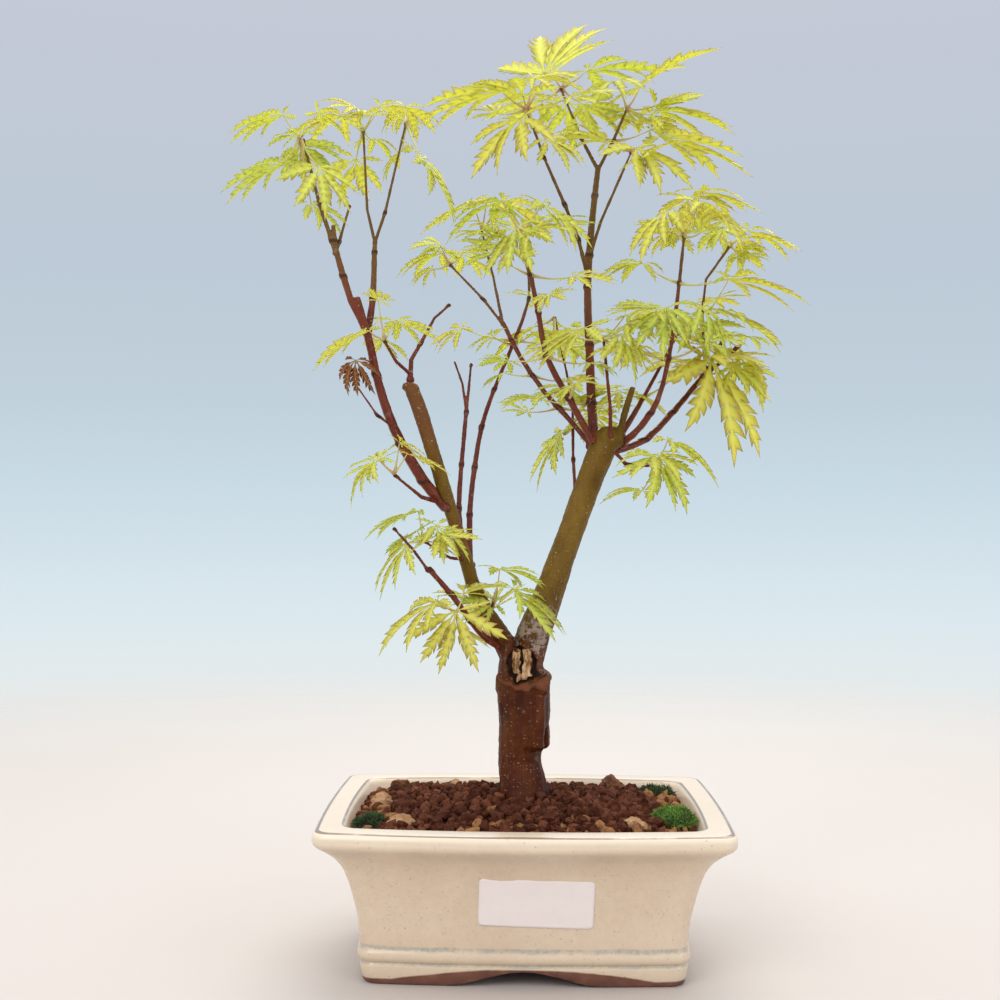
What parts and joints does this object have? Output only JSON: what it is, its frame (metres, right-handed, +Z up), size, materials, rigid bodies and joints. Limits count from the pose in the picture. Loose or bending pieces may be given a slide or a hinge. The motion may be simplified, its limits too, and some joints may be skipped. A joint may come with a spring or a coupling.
{
  "type": "potted bonsai tree",
  "caption": "Small cut-leaf maple bonsai with a forked trunk, growing in granular soil in a shallow rectangular glazed pot with feet.",
  "frame": {"origin": "on the ground under the middle of the pot", "axes": "+Z up along the trunk, +X along the pot's long side to the viewer's right, +Y from the front wall with the label to the back wall"},
  "size_m": [0.2719, 0.1478, 0.4491],
  "materials": {
    "glazed_pot": "glossy cream glaze with fine specks, bare red-brown clay at the foot",
    "sticker": "blank white label",
    "screen_plastic": "satin black mesh",
    "soil_granules": "rough baked clay granules, dark red-brown",
    "pale_stone": "rough ochre and tan grit",
    "dark_stone": "rough dark brown grit",
    "bright_moss": "soft bright green moss",
    "dark_moss": "soft dark green moss",
    "bark": "smooth red-brown to olive bark with pale lenticels and lichen",
    "young_bark": "smooth satin red-brown bark",
    "leaf": "thin yellow-green leaves with orange and pink margins",
    "dead_leaf": "dry curled brown leaf"
  },
  "bodies": {
    "root": {"pot": "glazed_pot", "label": "sticker", "drain_screen_left": "screen_plastic", "drain_screen_right": "screen_plastic", "soil": "soil_granules", "stone_dark": "dark_stone", "stone_ochre": "pale_stone", "stone_tan_flat": "pale_stone", "stone_pale_left": "pale_stone", "stone_brown_right": "dark_stone", "stone_tan_front": "pale_stone", "moss_bright": "bright_moss", "moss_front_left": "dark_moss", "moss_back_right": "dark_moss", "trunk": "bark", "shoot_outer_left": "young_bark", "shoot_outer_right": "young_bark", "shoot_stump": "young_bark", "shoot_inner_dead": "young_bark", "shoot_inner_long": "young_bark", "shoot_low_left": "young_bark", "shoot_middle_left": "young_bark", "shoot_middle_low": "young_bark", "shoot_fork_twig": "young_bark", "shoot_leader": "young_bark", "shoot_leader_left": "young_bark", "shoot_crown_left": "young_bark", "shoot_crown_outer": "young_bark", "shoot_back_thin": "young_bark", "shoot_front_green": "young_bark", "shoot_right": "young_bark", "shoot_right_inner": "young_bark", "shoot_far_right": "young_bark", "shoot_low_right": "young_bark", "spray_far_left": "leaf", "spray_left_top": "leaf", "spray_left_front": "leaf", "spray_stump": "leaf", "spray_crown_outer": "leaf", "spray_crown_outer_top": "leaf", "spray_middle_left": "leaf", "spray_middle_low": "leaf", "spray_low_left": "leaf", "spray_fork": "leaf", "spray_leader_left": "leaf", "spray_top": "leaf", "spray_top_right": "leaf", "spray_upper_right": "leaf", "spray_crown_left": "leaf", "spray_right_top": "leaf", "spray_right_mid": "leaf", "spray_right_inner": "leaf", "spray_far_right_top": "leaf", "spray_far_right": "leaf", "spray_hanging_right": "leaf", "spray_low_right": "leaf", "spray_back_thin": "leaf", "spray_back_low": "leaf", "spray_front_green": "leaf", "leaf_dead": "dead_leaf"}
  },
  "joints": []
}
